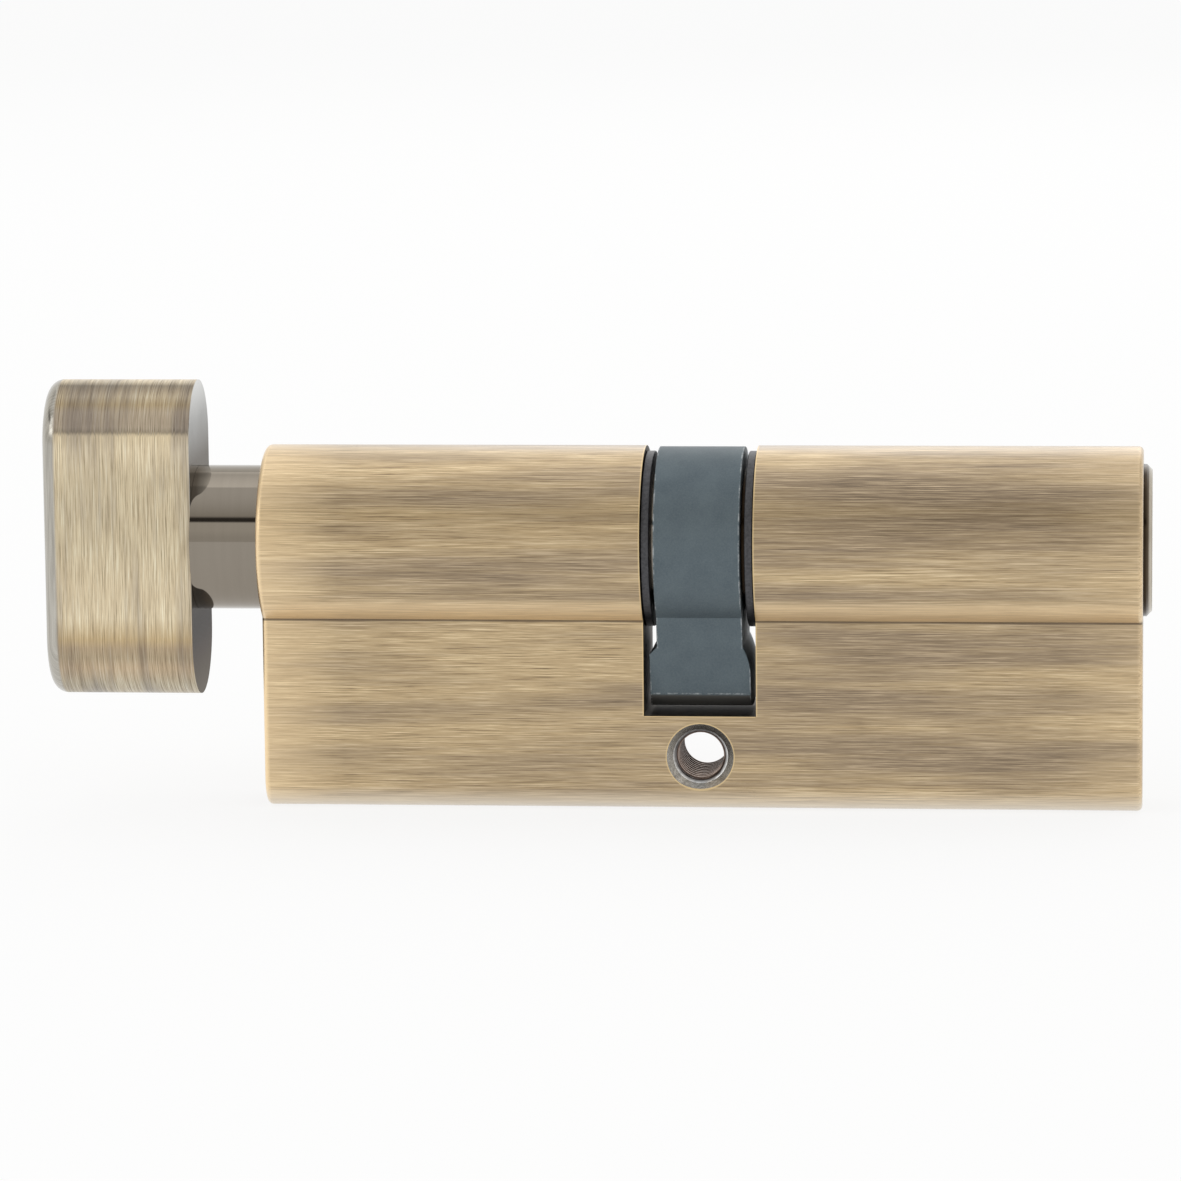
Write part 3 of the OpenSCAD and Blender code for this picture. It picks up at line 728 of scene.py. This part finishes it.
# The polished inner face: a painted reflection, pale at the top and dark low down, and a specular tint
# darkened low down as painted shade.
inner_face_painted_reflection = add(
    tree,
    "ShaderNodeValToRGB",
    {0: level},
    stops=[(0.02, "#9B958A"), (0.25, "#665C53"), (0.4, "#7D776F"), (0.75, "#AAA8A4"), (0.98, "#C6C6C2")],
)
painted_shade_rim_tint = add(
    tree,
    "ShaderNodeValToRGB",
    {0: level},
    stops=[(0.00, "#7C756D"), (0.22, "#5C554F"), (0.75, "#8A857F"), (0.88, "#C4C4C4"), (1.0, "#D6D6D6")],
)
inner_face = add(tree, "ShaderNodeMapRange", {0: axes["X"], 1: -46.36 * mm, 2: -46.33 * mm})
outer_face = add(tree, "ShaderNodeMapRange", {0: axes["X"], 1: -58.9 * mm, 2: -58.7 * mm, 3: 1, 4: 0})
polished = add(tree, "ShaderNodeMath", {0: inner_face, 1: outer_face}, operation="MAXIMUM")
face_marks = strokes(tree, (4, 0.1, 5), detail=2)
outer_grey = add(tree, "ShaderNodeValToRGB", {0: face_marks}, stops=[(0.3, "#A39F96"), (0.7, "#C0BCB3")])
colour = add(tree, "ShaderNodeMix", {0: outer_face, 6: colour, 7: outer_grey}, data_type="RGBA")
colour = add(tree, "ShaderNodeMix", {0: inner_face, 6: colour, 7: inner_face_painted_reflection}, data_type="RGBA")
painted_rim_tint = add(tree, "ShaderNodeMix", {0: inner_face, 6: linear("#FFFFFF"), 7: painted_shade_rim_tint}, data_type="RGBA")
brushed_gloss = add(tree, "ShaderNodeMapRange", {0: hair, 1: 0.3, 2: 0.7, 3: 0.44, 4: 0.3})
gloss = add(tree, "ShaderNodeMix", {0: polished, 2: brushed_gloss, 3: 0.2})
height = add(tree, "ShaderNodeMix", {0: polished, 2: hair, 3: 0.5})
dents = add(tree, "ShaderNodeBump", {"Height": height, "Strength": 0.4, "Distance": 0.03 * mm})
shader = add(
    tree,
    "ShaderNodeBsdfPrincipled",
    {
        "Base Color": colour,
        "Metallic": 1.0,
        "Roughness": gloss,
        "Specular Tint": painted_rim_tint,
        "Normal": dents,
        "Coat Weight": 0.25,
        "Coat Roughness": 0.2,
    },
)
add(tree, "ShaderNodeOutputMaterial", {"Surface": shader})
softened("knob", "turn", (knob_brass,), 0.07)

# Grub screw: a socket screw of steel, blackened, so it is nearly black and satin. It is turned into the
# knob's back against the spindle's flat.
grub_steel = plain_metal("blackened_screw_steel", (0.2, 0.2, 0.2), "#3A3B3D", "#55565A", 0.38)
softened("knob_grub_screw", "turn", (grub_steel,), 0.08)

# Turn spindle: one turned shaft of brass. Its stem is polished and plated with dark nickel, so it mirrors
# the room in bands, with only a trace of the lathe's marks around it.
dark_nickel = plain_metal("polished_dark_nickel", (0.6, 9, 9), "#8C8479", "#8F877C", 0.05, dent=0.0)
softened("turn_spindle", "turn", (dark_nickel,), 0.06)

# Cam: hub and lever pressed and sintered in one piece of steel, then blackened, so it is blue-grey and
# satin. Assembly has rubbed its side edges and the nose's edges bright in thin specks.
blackened_steel = bpy.data.materials.new("blackened_sintered_steel")
tree = new_tree(blackened_steel)
grain = strokes(tree, (0.15, 0.15, 0.15), detail=3, roughness=0.7)
cloud = strokes(tree, (2.5, 2.5, 2.5), detail=2, roughness=0.5)
speck = strokes(tree, (0.7, 0.5, 0.9), detail=3, roughness=0.7)
axes = add(tree, "ShaderNodeSeparateXYZ", {0: add(tree, "ShaderNodeTexCoord").outputs["Object"]}).outputs
along = add(tree, "ShaderNodeMath", {0: axes["X"]}, operation="ABSOLUTE")
steel = add(tree, "ShaderNodeValToRGB", {0: cloud}, stops=[(0.3, "#546067"), (0.7, "#5E6A70")])
pores = add(tree, "ShaderNodeMapRange", {0: grain, 1: 0.35, 2: 0.75, 3: 0, 4: 0.3})
colour = add(tree, "ShaderNodeMix", {0: pores, 6: steel, 7: linear("#7C878B")}, data_type="RGBA")
# The lever's tip, where it rounds down into the slot, is darkened: painted shade.
painted_tip_shade = add(tree, "ShaderNodeMapRange", {0: axes["Z"], 1: 5.4 * mm, 2: 5.6 * mm, 3: 0.8, 4: 0})
colour = add(tree, "ShaderNodeMix", {0: painted_tip_shade, 6: colour, 7: linear("#59544D")}, data_type="RGBA")
on_hub = add(tree, "ShaderNodeMapRange", {0: axes["Z"], 1: 9.9 * mm, 2: 10.0 * mm})
rubbed = add(tree, "ShaderNodeMath", {0: near(tree, along, 3.85, 0.1), 1: on_hub}, operation="MULTIPLY")
for edge in (near(tree, along, 4.55, 0.1), near(tree, axes["Z"], 5.65, 0.1)):
    rubbed = add(tree, "ShaderNodeMath", {0: rubbed, 1: edge}, operation="MAXIMUM")
specks = add(tree, "ShaderNodeMapRange", {0: speck, 1: 0.46, 2: 0.66, 3: 0, 4: 0.8})
rubbed = add(tree, "ShaderNodeMath", {0: rubbed, 1: specks}, operation="MULTIPLY")
colour = add(tree, "ShaderNodeMix", {0: rubbed, 6: colour, 7: linear("#B4B9BA")}, data_type="RGBA")
dents = add(tree, "ShaderNodeBump", {"Height": grain, "Strength": 0.3, "Distance": 0.02 * mm})
shader = add(
    tree,
    "ShaderNodeBsdfPrincipled",
    {"Base Color": colour, "Metallic": 0.6, "Roughness": 0.5, "Normal": dents},
)
add(tree, "ShaderNodeOutputMaterial", {"Surface": shader})
softened("cam", "cam", (blackened_steel,), 0.14)

# Retaining rings: open rings stamped from spring steel and oiled, so they are dark grey and satin. One
# holds the spindle and one the plug, each snapped into a groove beside the hub.
ring_steel = plain_metal("oiled_spring_steel", (0.25, 0.25, 0.25), "#414143", "#5A5A5D", 0.42, metallic=0.8)
softened("turn_retaining_ring", "turn", (ring_steel,), 0.08)
softened("key_retaining_ring", "plug", (ring_steel,), 0.08)

# Key plug: turned brass, nickel plated. Its flange stands out of the key end and its face keeps the lathe's
# fine circles. Its colour darkens towards the body: brown where the flange meets the body, darker still
# inside it, and pale on the chamfer.
nickel_plate = bpy.data.materials.new("turned_nickel_plate")
tree = new_tree(nickel_plate)
spot = add(tree, "ShaderNodeTexCoord").outputs["Object"]
axes = add(tree, "ShaderNodeSeparateXYZ", {0: spot}).outputs
centred = add(
    tree, "ShaderNodeMapping", {"Vector": spot, "Location": (0, 0, -axis_z * mm), "Scale": (0, 1, 1)}
)
from_axis = add(tree, "ShaderNodeVectorMath", {0: centred}, operation="LENGTH").outputs["Value"]

# Real circles lie a few hundredths of a millimetre apart. These lie 0.09 mm apart, so that they show.
circle_pitch = 0.09 * mm
circles = add(
    tree,
    "ShaderNodeTexNoise",
    {"W": from_axis, "Scale": 1 / circle_pitch, "Detail": 2.0},
    noise_dimensions="1D",
)
scuffs = strokes(tree, (0.4, 0.4, 1.2), detail=3)
marks = add(tree, "ShaderNodeMix", {0: 0.35, 2: circles, 3: scuffs})
plate = add(tree, "ShaderNodeValToRGB", {0: marks}, stops=[(0.3, "#A79F92"), (0.7, "#C6BEB0")])
# Darker towards the body: brown at the flange's foot, darker still inside the body.
outwards = add(tree, "ShaderNodeMapRange", {0: axes["X"], 1: 39.9 * mm, 2: 40.8 * mm})
darker_towards_body = add(
    tree,
    "ShaderNodeValToRGB",
    {0: outwards},
    stops=[(0.10, "#3A3129"), (0.40, "#5E544A"), (0.62, "#82786D"), (0.72, "#FFFFFF")],
)
colour = add(tree, "ShaderNodeMix", {0: 1.0, 6: plate, 7: darker_towards_body}, data_type="RGBA", blend_type="MULTIPLY")
dents = add(tree, "ShaderNodeBump", {"Height": marks, "Strength": 0.3, "Distance": 0.015 * mm})
shader = add(
    tree,
    "ShaderNodeBsdfPrincipled",
    {"Base Color": colour, "Metallic": 1.0, "Roughness": 0.2, "Normal": dents},
)
add(tree, "ShaderNodeOutputMaterial", {"Surface": shader})
softened("key_plug", "plug", (nickel_plate,), 0.05)

# Hidden works: the drive dog and the driver pins are bright turned or drawn steel, and the key pins are
# turned brass. They are seen only where the keyway or the dog's opening shows them.
bright_steel = plain_metal("bright_drawn_steel", (0.15, 1.5, 0.15), "#A3A19A", "#C3C1BA", 0.28)
pin_brass = plain_metal("bright_turned_brass", (1.5, 1.5, 0.12), "#C2A052", "#D8B865", 0.25)
hidden = {"drive_dog": bright_steel}
for i in range(1, 6):
    hidden[f"driver_pin_{i}"] = bright_steel
    hidden[f"key_pin_{i}"] = pin_brass
for name, material in hidden.items():
    cad[name].data.materials.clear()
    cad[name].data.materials.append(material)


# Springs: coils of drawn steel wire, one behind the drive dog and one between each driver pin and its cap.
# Each is pressed together towards its fixed end as far as its dog or pin slides, and springs back.
def coiled(node, body):
    """Puts a smooth-shaded copy of a CAD spring, in bright steel, in its place and hides the CAD node.
    """
    mesh = merged_copy(node, node + "_coil", 0)
    mesh.materials.append(bright_steel)
    mesh.shade_smooth()
    piece = bpy.data.objects.new(mesh.name, mesh)
    scene.collection.objects.link(piece)
    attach(piece, body)
    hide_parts(node)
    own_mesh(piece)


coiled("dog_spring", "turn")
for i in range(1, 6):
    coiled(f"pin_spring_{i}", "housing")
